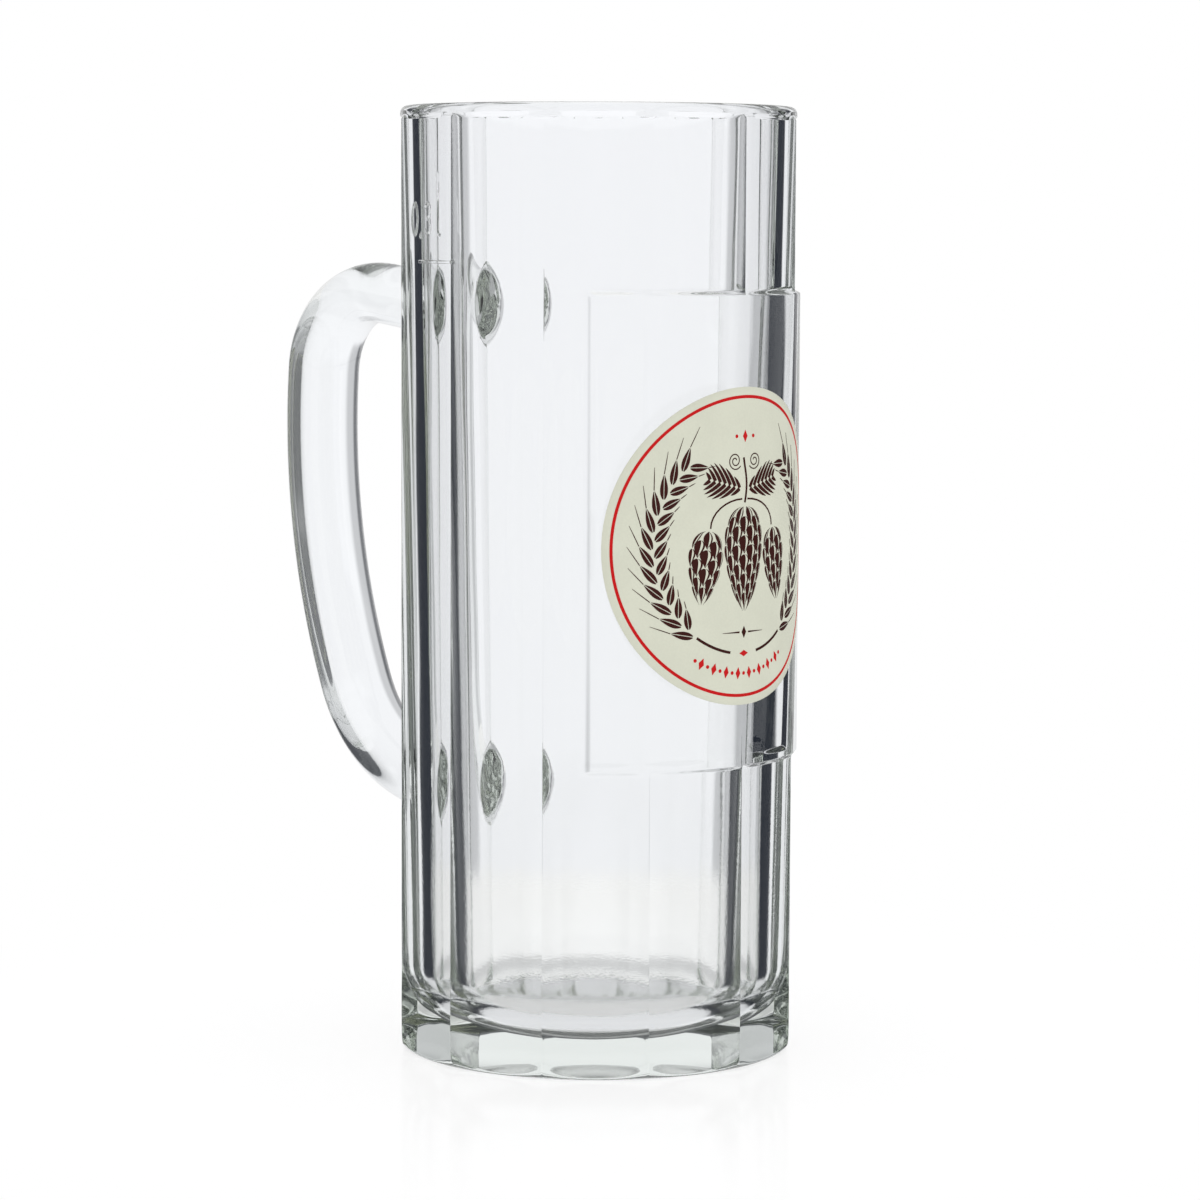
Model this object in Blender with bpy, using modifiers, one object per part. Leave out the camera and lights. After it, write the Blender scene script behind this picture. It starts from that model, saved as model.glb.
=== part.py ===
"""A pressed-glass beer mug for 0.3 litre: a twelve-sided barrel, a loop handle and a round enamel label.

Metres, +Z up. The origin is on the barrel's axis at the plane that the mug stands on. The label faces +X
and the handle stands out towards -X, in the plane of the mould's seam.
"""

import math

import bmesh
import bpy
from mathutils import Matrix, Vector

# Barrel: a twelve-sided prism. Its edges lie every 30 degrees from +X. A turned form rounds it at both ends.
SIDES = 12
CORNER_RADIUS = 0.0330
BARREL_TOP = 0.1525
FORM_RADIUS = 0.0332
HEEL_ROUND = 0.0024
SHOULDER_ROUND = 0.0008
PRISM_MARGIN = 0.0020

# Turned lining: floor, bore and the plain round rim band above the facets.
HEIGHT = 0.1550
RIM_RADIUS = 0.03245
RIM_OUTER_ROUND = 0.0011
RIM_INNER_ROUND = 0.0014
BAND_BOTTOM = 0.1523
BORE_RADIUS_TOP = 0.0293
BORE_RADIUS_LOW = 0.0252
FLOOR_HEIGHT = 0.0053
FLOOR_FILLET = 0.0090
LINING_RADIUS = 0.0312
LINING_BOTTOM = 0.0030
HOLLOW_RADIUS = 0.0302
HOLLOW_BOTTOM = 0.0042
TURN_STEPS = 96

# Raised label field: a smooth drum-shaped patch over the facet edges.
FIELD_RADIUS = 0.03315
FIELD_HALF_WIDTH = 0.02444
FIELD_BOTTOM = 0.0489
FIELD_TOP = 0.1256
FIELD_CORNER = 0.0014
FIELD_EDGE = 0.0013
FIELD_MARGIN = 0.0002
FIELD_DEPTH = 0.0150

# Handle: a straight arm, a tight shoulder, a bowed grip, a wide lower bend and a level arm.
# Headings are in degrees from straight out, upwards positive.
ROOT_REACH = 0.0310
UPPER_ROOT_HEIGHT = 0.1210
ARM_RISE = 7.4
ARM_LENGTH = 0.0208
SHOULDER_RADIUS = 0.0147
GRIP_START = -85.2
GRIP_RADIUS = 0.1185
GRIP_END = -112.2
BEND_RADIUS = 0.0252
BEND_END = -178.8
GRIP_HALF_THICK = 0.0052
GRIP_HALF_WIDE = 0.0069
ROOT_FLARE = 0.0022
FLARE_LENGTH = 0.0050
HANDLE_STEP = 0.0028
HANDLE_SIDES = 24
HANDLE_GAP = 0.0003

# Enamel label: a cream disc and a thin red ring, wrapped on the field.
LABEL_HEIGHT = 0.0849
LABEL_RADIUS = 0.0254
RING_RADIUS = 0.0241
RING_WIDTH = 0.0005
ENAMEL_THICK = 0.0001
ENAMEL_GAP = 0.0001
LABEL_STEPS = 120
STRIP_WIDTH = 0.0020

MERGE = 0.00001


def clear_scene():
    for thing in list(bpy.data.objects):
        bpy.data.objects.remove(thing, do_unlink=True)


def new_collection(name):
    collection = bpy.data.collections.new(name)
    bpy.context.scene.collection.children.link(collection)
    return collection


def new_material(name, colour, roughness, transmission=0.0):
    material = bpy.data.materials.new(name)
    material.use_nodes = True
    shader = material.node_tree.nodes["Principled BSDF"]
    shader.inputs["Base Color"].default_value = (*colour, 1.0)
    shader.inputs["Roughness"].default_value = roughness
    shader.inputs["Metallic"].default_value = 0.0
    shader.inputs["Transmission Weight"].default_value = transmission
    shader.inputs["IOR"].default_value = 1.52
    return material


def new_object(name, mesh, collection):
    thing = bpy.data.objects.new(name, mesh)
    collection.objects.link(thing)
    return thing


def object_from(name, shape, collection):
    mesh = bpy.data.meshes.new(name)
    shape.to_mesh(mesh)
    shape.free()
    return new_object(name, mesh, collection)


def as_helper(thing):
    thing.hide_render = True
    thing.display_type = "WIRE"
    return thing


def smooth(thing, angle=30.0):
    thing.data.shade_smooth()
    thing.data.set_sharp_from_angle(angle=math.radians(angle))


def drum(name, radius, bottom, top, segments, collection):
    """A solid cylinder or prism about the Z axis."""
    shape = bmesh.new()
    bmesh.ops.create_cone(
        shape,
        cap_ends=True,
        segments=segments,
        radius1=radius,
        radius2=radius,
        depth=top - bottom,
        matrix=Matrix.Translation((0.0, 0.0, (top + bottom) / 2)),
    )
    return object_from(name, shape, collection)


def boolean(thing, operation, other):
    modifier = thing.modifiers.new(f"{operation.lower()} {other.name}", "BOOLEAN")
    modifier.operation = operation
    modifier.object = other


def weighted_bevel(thing, width, segments, weight_of):
    """A Bevel whose width on each edge is scaled by weight_of(edge's two ends)."""
    shape = bmesh.new()
    shape.from_mesh(thing.data)
    weight = shape.edges.layers.float.new("bevel_weight_edge")
    for edge in shape.edges:
        edge[weight] = weight_of(edge.verts[0].co, edge.verts[1].co)
    shape.to_mesh(thing.data)
    shape.free()
    modifier = thing.modifiers.new("rounded edges", "BEVEL")
    modifier.limit_method = "WEIGHT"
    modifier.width = width
    modifier.segments = segments


def arc(centre, radius, start, end, count):
    """Points (radius from the axis, height) on a circle, angles in degrees."""
    turns = [math.radians(start + (end - start) * i / count) for i in range(count + 1)]
    return [(centre[0] + radius * math.cos(t), centre[1] + radius * math.sin(t)) for t in turns]


def turned(name, profile, collection):
    """A Screw about Z of a profile that ends on the axis and runs down its outer side."""
    points = [(radius, 0.0, height) for radius, height in profile]
    mesh = bpy.data.meshes.new(name)
    mesh.from_pydata(points, [(i, i + 1) for i in range(len(points) - 1)], [])
    thing = new_object(name, mesh, collection)
    screw = thing.modifiers.new("turning", "SCREW")
    screw.steps = screw.render_steps = TURN_STEPS
    screw.use_merge_vertices = True
    screw.merge_threshold = MERGE
    return thing


def make_field(helpers):
    """The part of a drum with rounded ends that shows through a window with round corners."""
    reach = 2 * (FIELD_RADIUS - FIELD_DEPTH)
    size = (reach, 2 * FIELD_HALF_WIDTH, FIELD_TOP - FIELD_BOTTOM + 2 * FIELD_MARGIN)
    middle = Vector((FIELD_RADIUS, 0.0, (FIELD_TOP + FIELD_BOTTOM) / 2))
    shape = bmesh.new()
    bmesh.ops.create_cube(shape, matrix=Matrix.Translation(middle) @ Matrix.Diagonal((*size, 1.0)))
    field = as_helper(object_from("field_window", shape, helpers))
    weighted_bevel(field, FIELD_CORNER, 4, lambda a, b: float(abs(a.x - b.x) > reach / 2))
    edge = FIELD_RADIUS - FIELD_EDGE
    profile = [
        (0.0, FIELD_TOP),
        *arc((edge, FIELD_TOP - FIELD_EDGE), FIELD_EDGE, 90.0, 0.0, 4),
        *arc((edge, FIELD_BOTTOM + FIELD_EDGE), FIELD_EDGE, 0.0, -90.0, 4),
        (0.0, FIELD_BOTTOM),
    ]
    boolean(field, "INTERSECT", as_helper(turned("field_drum", profile, helpers)))
    return field


def make_lining(helpers):
    """Floor, bore, rim and band: the surfaces that the plunger and the rim ring form."""
    rim_inside = (BORE_RADIUS_TOP + RIM_INNER_ROUND, HEIGHT - RIM_INNER_ROUND)
    rim_outside = (RIM_RADIUS - RIM_OUTER_ROUND, HEIGHT - RIM_OUTER_ROUND)
    fillet_middle = (BORE_RADIUS_LOW - FLOOR_FILLET, FLOOR_HEIGHT + FLOOR_FILLET)
    undercut = RIM_RADIUS - LINING_RADIUS
    profile = [
        (0.0, FLOOR_HEIGHT),
        *arc(fillet_middle, FLOOR_FILLET, -90.0, 0.0, 10),
        *arc(rim_inside, RIM_INNER_ROUND, 180.0, 90.0, 6),
        *arc(rim_outside, RIM_OUTER_ROUND, 90.0, 0.0, 6),
        (RIM_RADIUS, BAND_BOTTOM),
        (LINING_RADIUS, BAND_BOTTOM - undercut),
        (LINING_RADIUS, LINING_BOTTOM),
        (0.0, LINING_BOTTOM),
    ]
    return as_helper(turned("turned_lining", profile, helpers))


def make_form(helpers):
    """The round form that the prism's ends are cut to: a foot and a shoulder that take off the facet edges."""
    profile = [
        (0.0, BARREL_TOP),
        *arc((FORM_RADIUS - SHOULDER_ROUND, BARREL_TOP - SHOULDER_ROUND), SHOULDER_ROUND, 90.0, 0.0, 4),
        *arc((FORM_RADIUS - HEEL_ROUND, HEEL_ROUND), HEEL_ROUND, 0.0, -90.0, 6),
        (0.0, 0.0),
    ]
    return as_helper(turned("barrel_form", profile, helpers))


def make_body(parts, helpers):
    body = drum("mug_body", CORNER_RADIUS, -PRISM_MARGIN, BARREL_TOP + PRISM_MARGIN, SIDES, parts)
    boolean(body, "INTERSECT", make_form(helpers))
    hollow = drum("hollow", HOLLOW_RADIUS, HOLLOW_BOTTOM, HEIGHT, TURN_STEPS, helpers)
    boolean(body, "UNION", make_field(helpers))
    boolean(body, "DIFFERENCE", as_helper(hollow))
    boolean(body, "UNION", make_lining(helpers))
    return body


def handle_route():
    """Points (reach from the axis, height) along the handle's centreline, from its upper root to its lower one."""
    here = Vector((ROOT_REACH, UPPER_ROOT_HEIGHT))
    heading = math.radians(ARM_RISE)
    route = [here.copy()]

    def straight(length):
        nonlocal here
        count = max(1, round(length / HANDLE_STEP))
        ahead = Vector((math.cos(heading), math.sin(heading)))
        route.extend(here + ahead * (length * i / count) for i in range(1, count + 1))
        here = route[-1].copy()

    def bend(radius, end):
        nonlocal here, heading
        final = math.radians(end)
        centre = here + radius * Vector((math.sin(heading), -math.cos(heading)))
        count = max(4, round(radius * (heading - final) / HANDLE_STEP))
        turns = [heading + (final - heading) * i / count for i in range(1, count + 1)]
        route.extend(centre + radius * Vector((-math.sin(t), math.cos(t))) for t in turns)
        here = route[-1].copy()
        heading = final

    straight(ARM_LENGTH)
    bend(SHOULDER_RADIUS, GRIP_START)
    bend(GRIP_RADIUS, GRIP_END)
    bend(BEND_RADIUS, BEND_END)
    straight((here.x - ROOT_REACH) / -math.cos(heading))
    return route


def flare(reach):
    """How much wider the section is near a root: a fillet that dies out at FLARE_LENGTH from the barrel."""
    near = 1.0 - (reach - CORNER_RADIUS) / FLARE_LENGTH
    near = min(1.0, max(0.0, near))
    rise = 1.0 - math.sqrt(1.0 - near * near)
    return 1.0 + rise * ROOT_FLARE / GRIP_HALF_THICK


def make_section(helpers):
    outline = bpy.data.curves.new("handle_section", "CURVE")
    spline = outline.splines.new("POLY")
    spline.points.add(HANDLE_SIDES - 1)
    for i, point in enumerate(spline.points):
        turn = 2 * math.pi * i / HANDLE_SIDES
        point.co = (GRIP_HALF_WIDE * math.cos(turn), GRIP_HALF_THICK * math.sin(turn), 0.0, 1.0)
    spline.use_cyclic_u = True
    return as_helper(new_object("handle_section", outline, helpers))


def make_handle(parts, helpers):
    """An oval section swept along the route, its roots cut to the barrel's facets."""
    path = bpy.data.curves.new("handle_path", "CURVE")
    path.dimensions = "3D"
    path.bevel_mode = "OBJECT"
    path.bevel_object = make_section(helpers)
    path.use_fill_caps = True
    route = handle_route()
    spline = path.splines.new("POLY")
    spline.points.add(len(route) - 1)
    for point, spot in zip(spline.points, route):
        point.co = (-spot.x, 0.0, spot.y, 1.0)
        point.radius = flare(spot.x)
    sweep = new_object("handle_path", path, helpers)
    graph = bpy.context.evaluated_depsgraph_get()
    mesh = bpy.data.meshes.new_from_object(sweep.evaluated_get(graph))
    bpy.data.objects.remove(sweep, do_unlink=True)
    shape = bmesh.new()
    shape.from_mesh(mesh)
    bmesh.ops.remove_doubles(shape, verts=shape.verts, dist=MERGE)
    bmesh.ops.recalc_face_normals(shape, faces=shape.faces)
    handle = object_from("handle", shape, parts)
    cut_radius = CORNER_RADIUS + HANDLE_GAP / math.cos(math.pi / SIDES)
    barrel = drum("root_cutter", cut_radius, 0.0, HEIGHT, SIDES, helpers)
    boolean(handle, "DIFFERENCE", as_helper(barrel))
    return handle


def wrap(shape, radius):
    """Bends a flat shape in the XZ plane round the barrel, its middle at the label's height on +X."""
    for vert in shape.verts:
        along, up = vert.co.x, vert.co.z
        turn = along / radius
        vert.co = (radius * math.cos(turn), radius * math.sin(turn), LABEL_HEIGHT + up)


def enamel(name, shape, layer, parts):
    """A printed layer as a thin shell; layer counts up from the glass."""
    wrap(shape, FIELD_RADIUS + ENAMEL_GAP + layer * (ENAMEL_THICK + ENAMEL_GAP))
    shape.normal_update()
    bmesh.ops.reverse_faces(shape, faces=[face for face in shape.faces if face.normal.x < 0.0])
    thing = object_from(name, shape, parts)
    shell = thing.modifiers.new("film", "SOLIDIFY")
    shell.thickness = ENAMEL_THICK
    shell.offset = 1.0
    return thing


def upright_circle(shape, radius, filled):
    upright = Matrix.Rotation(math.radians(90.0), 4, "X")
    bmesh.ops.create_circle(shape, cap_ends=filled, segments=LABEL_STEPS, radius=radius, matrix=upright)


def make_label_ground(parts):
    shape = bmesh.new()
    upright_circle(shape, LABEL_RADIUS, True)
    strips = int(LABEL_RADIUS / STRIP_WIDTH)
    for i in range(-strips, strips + 1):
        everything = [*shape.verts, *shape.edges, *shape.faces]
        bmesh.ops.bisect_plane(
            shape, geom=everything, dist=MERGE, plane_co=(i * STRIP_WIDTH, 0.0, 0.0), plane_no=(1.0, 0.0, 0.0)
        )
    return enamel("label_ground", shape, 0, parts)


def make_label_ring(parts):
    shape = bmesh.new()
    for radius in (RING_RADIUS, RING_RADIUS - RING_WIDTH):
        upright_circle(shape, radius, False)
    bmesh.ops.bridge_loops(shape, edges=shape.edges[:])
    return enamel("label_ring", shape, 1, parts)


def main():
    clear_scene()
    parts = new_collection("beer_mug")
    helpers = new_collection("beer_mug_cutters")
    origin = bpy.data.objects.new("beer_mug_origin", None)
    parts.objects.link(origin)
    finishes = {
        "mug_body": ((0.93, 0.96, 0.95), 0.03, 1.0),
        "handle": ((0.93, 0.96, 0.95), 0.03, 1.0),
        "label_ground": ((0.69, 0.71, 0.58), 0.35, 0.0),
        "label_ring": ((0.58, 0.005, 0.007), 0.35, 0.0),
    }
    pieces = [
        make_body(parts, helpers),
        make_handle(parts, helpers),
        make_label_ground(parts),
        make_label_ring(parts),
    ]
    for piece in pieces:
        smooth(piece)
        piece.parent = origin
        colour, roughness, transmission = finishes[piece.name]
        piece.data.materials.append(new_material(f"{piece.name}_finish", colour, roughness, transmission))


main()
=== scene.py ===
import math

import bmesh
import bpy
import numpy as np
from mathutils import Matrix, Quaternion, Vector, noise


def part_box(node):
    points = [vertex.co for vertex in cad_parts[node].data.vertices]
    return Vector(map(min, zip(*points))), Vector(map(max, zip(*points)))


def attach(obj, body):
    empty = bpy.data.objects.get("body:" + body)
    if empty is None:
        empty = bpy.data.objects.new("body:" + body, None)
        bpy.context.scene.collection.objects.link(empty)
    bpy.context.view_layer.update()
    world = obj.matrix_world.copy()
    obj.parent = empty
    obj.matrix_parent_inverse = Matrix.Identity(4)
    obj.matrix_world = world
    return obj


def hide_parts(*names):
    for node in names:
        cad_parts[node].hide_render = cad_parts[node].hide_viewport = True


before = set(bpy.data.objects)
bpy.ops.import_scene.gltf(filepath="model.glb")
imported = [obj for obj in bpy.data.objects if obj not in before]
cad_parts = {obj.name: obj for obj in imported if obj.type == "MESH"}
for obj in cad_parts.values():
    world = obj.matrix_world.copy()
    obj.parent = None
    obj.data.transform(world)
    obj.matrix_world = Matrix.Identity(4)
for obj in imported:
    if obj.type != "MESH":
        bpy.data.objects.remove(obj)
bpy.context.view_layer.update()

scene = bpy.context.scene
print("frame loaded:", sorted(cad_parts))


# Camera, fitted to the photograph's 1200 x 1200 frame
cameraSet = {
    "azimuth": 45.0,          # degrees; 0 looks along +Y
    "distance": 0.6759,       # from the mug's axis, level
    "height": 0.13755,
    "pitch": 5.371,           # degrees below level
    "roll": 0.226,
    "focalPixels": 4108.18,
    "framePixels": 1200,
    "sensor": 36.0,
    "shiftX": 0.002625,
}


def makeCamera():
    turn = math.radians(cameraSet["azimuth"])
    pitch = math.radians(cameraSet["pitch"])
    ahead = Vector((-math.sin(turn) * math.cos(pitch), math.cos(turn) * math.cos(pitch), -math.sin(pitch)))
    data = bpy.data.cameras.new("camera")
    data.sensor_width = cameraSet["sensor"]
    data.lens = cameraSet["focalPixels"] * cameraSet["sensor"] / cameraSet["framePixels"]
    data.shift_x = cameraSet["shiftX"]
    data.clip_start = 0.01
    camera = bpy.data.objects.new("camera", data)
    scene.collection.objects.link(camera)
    level = cameraSet["distance"]
    camera.location = (level * math.sin(turn), -level * math.cos(turn), cameraSet["height"])
    camera.rotation_mode = "QUATERNION"
    roll = Quaternion((0.0, 0.0, 1.0), math.radians(cameraSet["roll"]))
    camera.rotation_quaternion = ahead.to_track_quat("-Z", "Y") @ roll
    scene.camera = camera


makeCamera()
print("camera set")


# Shader nodes: a socket that can be reckoned with, and one way to add any other node
class Wire:
    def __init__(self, tree, socket=None):
        self.tree = tree
        self.socket = socket

    def plug(self, target, value):
        if isinstance(value, Wire):
            self.tree.links.new(value.socket, target)
        else:
            target.default_value = value

    def node(self, kind, settings=None, sockets=None, out=0):
        made = self.tree.nodes.new("ShaderNode" + kind)
        for name, value in (settings or {}).items():
            setattr(made, name, value)
        for name, value in (sockets or {}).items():
            self.plug(made.inputs[name], value)
        return Wire(self.tree, made.outputs[out])

    def other(self, out):     # another output of the same node
        return Wire(self.tree, self.socket.node.outputs[out])

    def maths(self, operation, first, second):
        return self.node("Math", {"operation": operation}, {0: first, 1: second})

    def __add__(self, value):
        return self.maths("ADD", self, value)

    def __sub__(self, value):
        return self.maths("SUBTRACT", self, value)

    def __rsub__(self, value):
        return self.maths("SUBTRACT", value, self)

    def __mul__(self, value):
        return self.maths("MULTIPLY", self, value)

    def __gt__(self, value):
        return self.maths("GREATER_THAN", self, value)

    __radd__ = __add__
    __rmul__ = __mul__

    def ramp(self, start, end, low=0.0, high=1.0):     # soft step from start to end
        return self.node("MapRange", {"interpolation_type": "SMOOTHSTEP"}, {
            "Value": self, "From Min": start, "From Max": end, "To Min": low, "To Max": high})

    def blend(self, first, second):     # this value mixes two colours
        return self.node("Mix", {"data_type": "RGBA"}, {0: self, 6: first, 7: second}, out=2)


def newMaterial(name):
    material = bpy.data.materials.new(name)
    material.use_nodes = True
    material.node_tree.nodes.clear()
    return material, Wire(material.node_tree)


def endMaterial(wire, surface, volume=None):
    out = wire.tree.nodes.new("ShaderNodeOutputMaterial")
    wire.plug(out.inputs["Surface"], surface)
    if volume:
        wire.plug(out.inputs["Volume"], volume)


# Mesh helpers: rows of points, closed round each row
def gridFaces(rows, columns, wrapRows=False):
    faces = []
    for i in range(rows if wrapRows else rows - 1):
        low = i * columns
        high = (i + 1) % rows * columns
        for j in range(columns):
            k = (j + 1) % columns
            faces.append((low + j, low + k, high + k, high + j))
    return faces


def closedSkin(rows, firstPole, lastPole):
    rows = np.asarray(rows)
    count, columns, _ = rows.shape
    points = [*rows.reshape(-1, 3), firstPole, lastPole]
    faces = gridFaces(count, columns)
    top = (count - 1) * columns
    for j in range(columns):
        k = (j + 1) % columns
        faces.append((count * columns, k, j))
        faces.append((count * columns + 1, top + j, top + k))
    return points, faces


def makeObject(name, points, faces):
    mesh = bpy.data.meshes.new(name)
    mesh.from_pydata([tuple(float(x) for x in point) for point in points], [], faces)
    mesh.validate()
    made = bpy.data.objects.new(name, mesh)
    scene.collection.objects.link(made)
    mesh.shade_smooth()
    return made


def finishPiece(piece, material, nodes=()):
    piece.data.materials.clear()
    piece.data.materials.append(material)
    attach(piece, "root")
    if nodes:
        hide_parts(*nodes)
    print("piece:", piece.name, len(piece.data.polygons), "faces")


def smoothStep(value, start, end):
    share = np.clip((value - start) / (end - start), 0.0, 1.0)
    return share * share * (3.0 - 2.0 * share)


# Glass barrel: twelve flat facets, round rim band, raised label field, fill line and capacity mark
bodyLow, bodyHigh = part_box("mug_body")
barrel = {
    "sides": 12,
    "cornerRadius": bodyHigh.y,       # facet edges lie every 30 degrees from +X
    "edgeRound": 0.0008,
    "footRadius": 0.0308,             # the round flat that the mug stands on
    "heelRound": 0.0022,
    "heelEnd": 15.0,                  # degrees from upright where the heel's arc runs on straight
    "heelRun": 0.0024,
    "heelEdge": 0.0004,
    "heelStep": 0.00015,
    "facetTop": 0.1526,
    "bandBottom": 0.1535,
    "height": bodyHigh.z,
    "rimRadius": 0.03245,
    "rimTall": 0.0015,
    "rimPower": 2.6,
    "boreHigh": 0.0293,
    "boreLow": 0.0252,
    "floorMiddle": 0.00315,           # the floor is a shallow bowl
    "floorCurve": 0.065,
    "floorFillet": 0.0080,
    "dishDepth": 0.0003,              # the underside is hollow, so the mug stands on a ring
    "dishRadius": 0.0285,
    "insideRadius": 0.0302,           # within this and above the next lie the bore and the floor
    "insideHeight": 0.0025,
    "dishRings": 24,
    "bandRings": 8,
    "rimCells": 28,
    "boreRings": 55,
    "filletCells": 22,
    "bowlCells": 18,
    "facetCells": 16,
    "edgeCells": 8,
    "edgeBead": 0.000032,             # the mould's joints leave a fine ridge on each facet edge
    "edgeBeadTurn": 0.35,
    "rowStep": 0.0026,
    "boreWave": 0.00002,
    "boreWaveScale": (14.0, 40.0),    # waves round the axis and up it
    "wallWave": (0.00001, 0.00006),   # the pressing is a little uneven, most of all round the base
    "wallWaveHeight": (0.010, 0.026),
    "wallWaveScale": (6.0, 110.0),
}
field = {
    "radius": bodyHigh.x,
    "halfTurn": 49.9,                 # degrees each way from +X
    "bottom": 0.0489,
    "top": 0.1256,
    "sideSlope": 0.0028,              # how wide the step up to the field is
    "endSlope": 0.0009,
    "cornerSoft": 0.5,                # as a share of the slopes
    "edgeFacet": 45.0,                # degrees; the facets that carry the field's two sides
    "over": 0.0002,                   # how far the finer mesh goes past each slope
    "cells": 11,
}
mark = {
    "facet": -105.0,                  # degrees; the facet that carries the fill line
    "lineHeight": 0.1298,
    "lineFrom": -0.0021,              # along the facet from its middle
    "lineTo": 0.0086,
    "lineHalf": 0.00016,
    "lineRows": 9,
    "digitsBottom": 0.1341,
    "digitsTall": 0.0050,
    "zeroAt": -0.0037,
    "zeroSqueeze": 0.36,
    "commaTop": (-0.0016, 0.0002),    # from the foot of the digits
    "commaFoot": (-0.0018, -0.0004),
    "threeAt": 0.0006,
    "threeSqueeze": 0.7,
    "threeArcs": (0.24, 0.27),        # upper and lower radius, as shares of the height
    "litreAt": 0.0042,
    "litreOver": 0.0004,
    "litreHook": 0.0006,
    "finerAlong": (-0.0066, 0.0052),  # where the mesh is fine enough for the digits
    "finerPast": (0.0012, 0.0005),    # below and above them
    "strokeHalf": 0.00009,
    "soft": 0.00014,
    "rise": 0.00022,
    "step": 0.00011,
}
halfSide = math.pi / barrel["sides"]
apothem = barrel["cornerRadius"] * math.cos(halfSide)
facetHalf = (apothem - barrel["edgeRound"]) * math.tan(halfSide)
rimBottom = barrel["height"] - barrel["rimTall"]


def arcPoints(centre, radius, start, end, count, squeeze=1.0):
    turns = np.radians(np.linspace(start, end, count + 1))
    return [(centre[0] + squeeze * radius * math.cos(t), centre[1] + radius * math.sin(t)) for t in turns]


def markStrokes():     # 0,3 l in the facet's own plane, from the middle of the facet
    tall = mark["digitsTall"]
    low = mark["digitsBottom"]
    zero = arcPoints((mark["zeroAt"], low + tall / 2), tall / 2, 0, 360, 28, mark["zeroSqueeze"])
    comma = [(along, low + up) for along, up in (mark["commaTop"], mark["commaFoot"])]
    upper, lower = (share * tall for share in mark["threeArcs"])
    three = arcPoints((mark["threeAt"], low + tall - upper), upper, 150, -90, 14, mark["threeSqueeze"])
    three += arcPoints((mark["threeAt"], low + lower), lower, 90, -150, 14, mark["threeSqueeze"])[1:]
    hook = mark["litreHook"]
    litre = [(mark["litreAt"], low + tall + mark["litreOver"])]
    litre += arcPoints((mark["litreAt"] + hook, low + hook), hook, 180, 270, 4)
    return [zero, comma, three, litre]


def strokeDistance(along, height, stroke):
    nearest = np.full(np.broadcast(along, height).shape, 1.0)
    for (ax, az), (bx, bz) in zip(stroke[:-1], stroke[1:]):
        dx, dz = bx - ax, bz - az
        share = ((along - ax) * dx + (height - az) * dz) / (dx * dx + dz * dz)
        share = np.clip(share, 0.0, 1.0)
        nearest = np.minimum(nearest, np.hypot(along - ax - share * dx, height - az - share * dz))
    return nearest


def facetColumns(middle):     # places along one facet, -1 to 1, finer where something is raised on it
    places = list(np.linspace(-1.0, 1.0, barrel["facetCells"] + 1))
    if abs(abs(middle) - field["edgeFacet"]) < 1.0:
        side = math.copysign(1.0, middle)
        edge = apothem * math.tan(math.radians(field["halfTurn"] - field["edgeFacet"]))
        ends = edge + field["over"], edge - field["sideSlope"] - field["over"]
        places += list(side * np.linspace(*ends, field["cells"]) / facetHalf)
    if abs(middle - mark["facet"]) < 1.0:
        places += list(np.arange(*mark["finerAlong"], mark["step"]) / facetHalf)
    places = sorted(places)
    kept = [places[0]]
    for place in places[1:-1]:
        if (place - kept[-1]) * facetHalf > 0.8 * mark["step"] and place < 0.995:
            kept.append(place)
    return [*kept, 1.0]


def barrelColumns():     # (facet's middle, place on the flat, turn round the edge or None)
    columns = []
    for k in range(barrel["sides"]):
        middle = math.degrees((2 * k + 1) * halfSide)
        middle = middle - 360.0 if middle > 180.0 else middle
        columns += [(middle, place, None) for place in facetColumns(middle)]
        turns = np.linspace(-halfSide, halfSide, barrel["edgeCells"] + 1)[1:-1]
        columns += [(middle, 1.0, turn) for turn in turns]
    return columns


columns = barrelColumns()
middles = np.radians([column[0] for column in columns])
flatPlaces = np.array([column[1] for column in columns])
onEdge = np.array([column[2] is not None for column in columns])
edgeTurns = np.array([column[2] or 0.0 for column in columns])


def facetRing(reach):     # one twelve-sided ring with rounded edges, reach from the axis to each flat
    rounding = barrel["edgeRound"]
    ridge = rounding + barrel["edgeBead"] * np.exp(-(edgeTurns / halfSide / barrel["edgeBeadTurn"]) ** 2)
    flat = flatPlaces * (reach - rounding) * math.tan(halfSide)
    x = reach * np.cos(middles) - flat * np.sin(middles)
    y = reach * np.sin(middles) + flat * np.cos(middles)
    corner = middles + halfSide
    hub = (reach - rounding) / math.cos(halfSide)
    x = np.where(onEdge, hub * np.cos(corner) + ridge * np.cos(corner + edgeTurns), x)
    y = np.where(onEdge, hub * np.sin(corner) + ridge * np.sin(corner + edgeTurns), y)
    return x, y


wallX, wallY = facetRing(apothem)
columnTurns = np.arctan2(wallY, wallX)


def softMin(first, second, width):
    near = np.maximum(width - np.abs(first - second), 0.0) / width
    return np.minimum(first, second) - 0.25 * width * near * near


def roundRing(radius, height):
    return np.stack([radius * np.cos(columnTurns), radius * np.sin(columnTurns),
                     np.broadcast_to(height, columnTurns.shape)], axis=1)


def unevenness(around, up, height):
    places = [Vector((around * math.cos(t), around * math.sin(t), up * height)) for t in columnTurns]
    return np.array([noise.noise(place) for place in places])


def fieldLift(height):     # 0 on the facets, 1 on the field
    halfWide = field["radius"] * math.radians(field["halfTurn"])
    halfTall = (field["top"] - field["bottom"]) / 2
    sideward = (halfWide - field["radius"] * np.abs(columnTurns)) / field["sideSlope"]
    endward = (halfTall - abs(height - field["bottom"] - halfTall)) / field["endSlope"]
    return smoothStep(softMin(sideward, endward, field["cornerSoft"]), 0.0, 1.0)


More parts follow.
